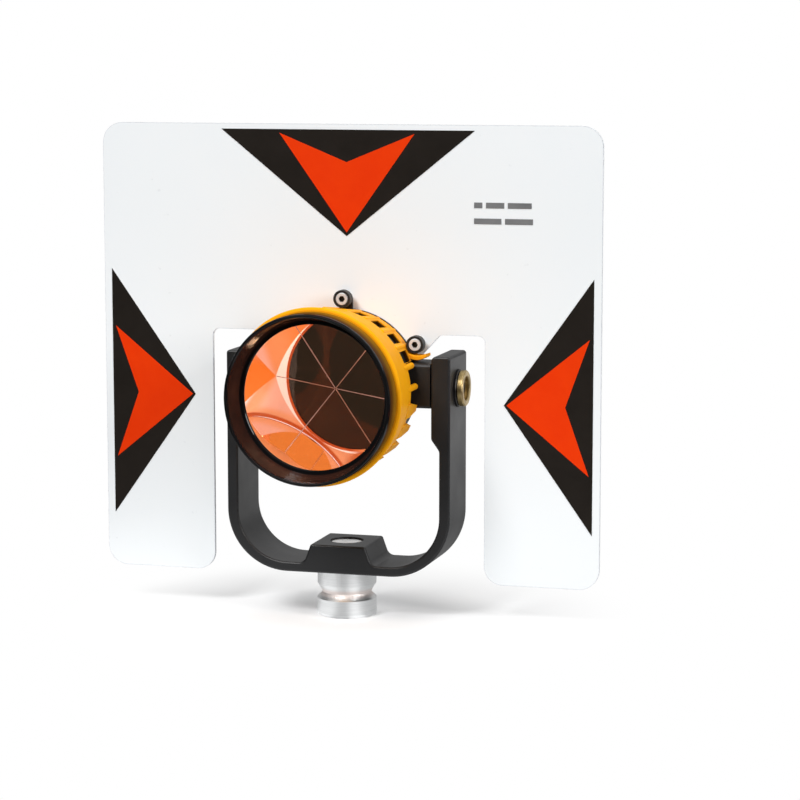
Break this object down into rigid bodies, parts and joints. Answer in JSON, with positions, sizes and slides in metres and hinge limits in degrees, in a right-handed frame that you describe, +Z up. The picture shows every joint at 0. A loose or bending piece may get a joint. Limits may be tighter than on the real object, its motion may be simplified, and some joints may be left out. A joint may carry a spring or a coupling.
{
  "type": "survey prism",
  "caption": "Tilting corner cube survey prism with a white target plate, held in a black yoke on a threaded pole adapter.",
  "frame": {"origin": "centre of the mouth of the pole adapter's thread, in its bottom face", "axes": "+Z up along the pole's axis, -Y the way the glass faces, +X along the tilt axis towards the lock nut"},
  "size_m": [0.226, 0.0729, 0.215],
  "materials": {
    "black_paint": "satin black paint on cast aluminium",
    "turned_aluminium": "turned, fine tool marks",
    "dark_steel": "black oxide",
    "bronze": "sintered bronze",
    "fibre_washer": "matte",
    "brass": "worn, satin",
    "black_plastic": "matte moulded",
    "yellow_plastic": "glossy moulded",
    "gloss_black_plastic": "glossy",
    "black_rubber": "matte",
    "clear_glass": "optically polished",
    "copper_mirror": "copper mirror coating",
    "white_paint": "white paint on aluminium sheet",
    "black_film": "satin print",
    "orange_film": "satin fluorescent print",
    "grey_film": "satin print",
    "chrome_steel": "bright plated",
    "bright_steel": "zinc plated"
  },
  "bodies": {
    "yoke": {"yoke": "black_paint", "pole_adapter": "turned_aluminium", "adapter_set_screw": "dark_steel", "right_pivot_bush": "bronze", "left_pivot_bush": "bronze", "clamp_washer": "dark_steel"},
    "prism_head": {"right_friction_washer": "fibre_washer", "left_friction_washer": "fibre_washer", "right_pivot_stud": "dark_steel", "left_pivot_screw": "dark_steel", "carrier_ring": "black_plastic", "canister_screws": "dark_steel", "canister_housing": "yellow_plastic", "prism_cell": "black_plastic", "front_bezel": "gloss_black_plastic", "front_gasket": "black_rubber", "corner_cube_prism": "clear_glass", "copper_coating": "copper_mirror", "prism_seat": "black_rubber", "rear_cap": "black_plastic", "rear_cap_seal": "black_rubber", "target_plate": "white_paint", "black_triangle_films": "black_film", "orange_arrow_films": "orange_film", "offset_mark_films": "grey_film", "target_plate_screws": "chrome_steel", "target_plate_washers": "bright_steel", "target_plate_nuts": "bright_steel"},
    "lock_nut": {"tilt_lock_nut": "brass"}
  },
  "joints": [
    {"name": "tilt", "type": "hinge", "parent": "yoke", "child": "prism_head", "pos_m": [0, 0, 0.102], "axis": [1, 0, 0], "range_deg": [-90, 90]},
    {"name": "lock_nut_turn", "type": "hinge", "parent": "prism_head", "child": "lock_nut", "pos_m": [0.053, 0, 0.102], "axis": [1, 0, 0], "range_deg": [0, 120]}
  ]
}
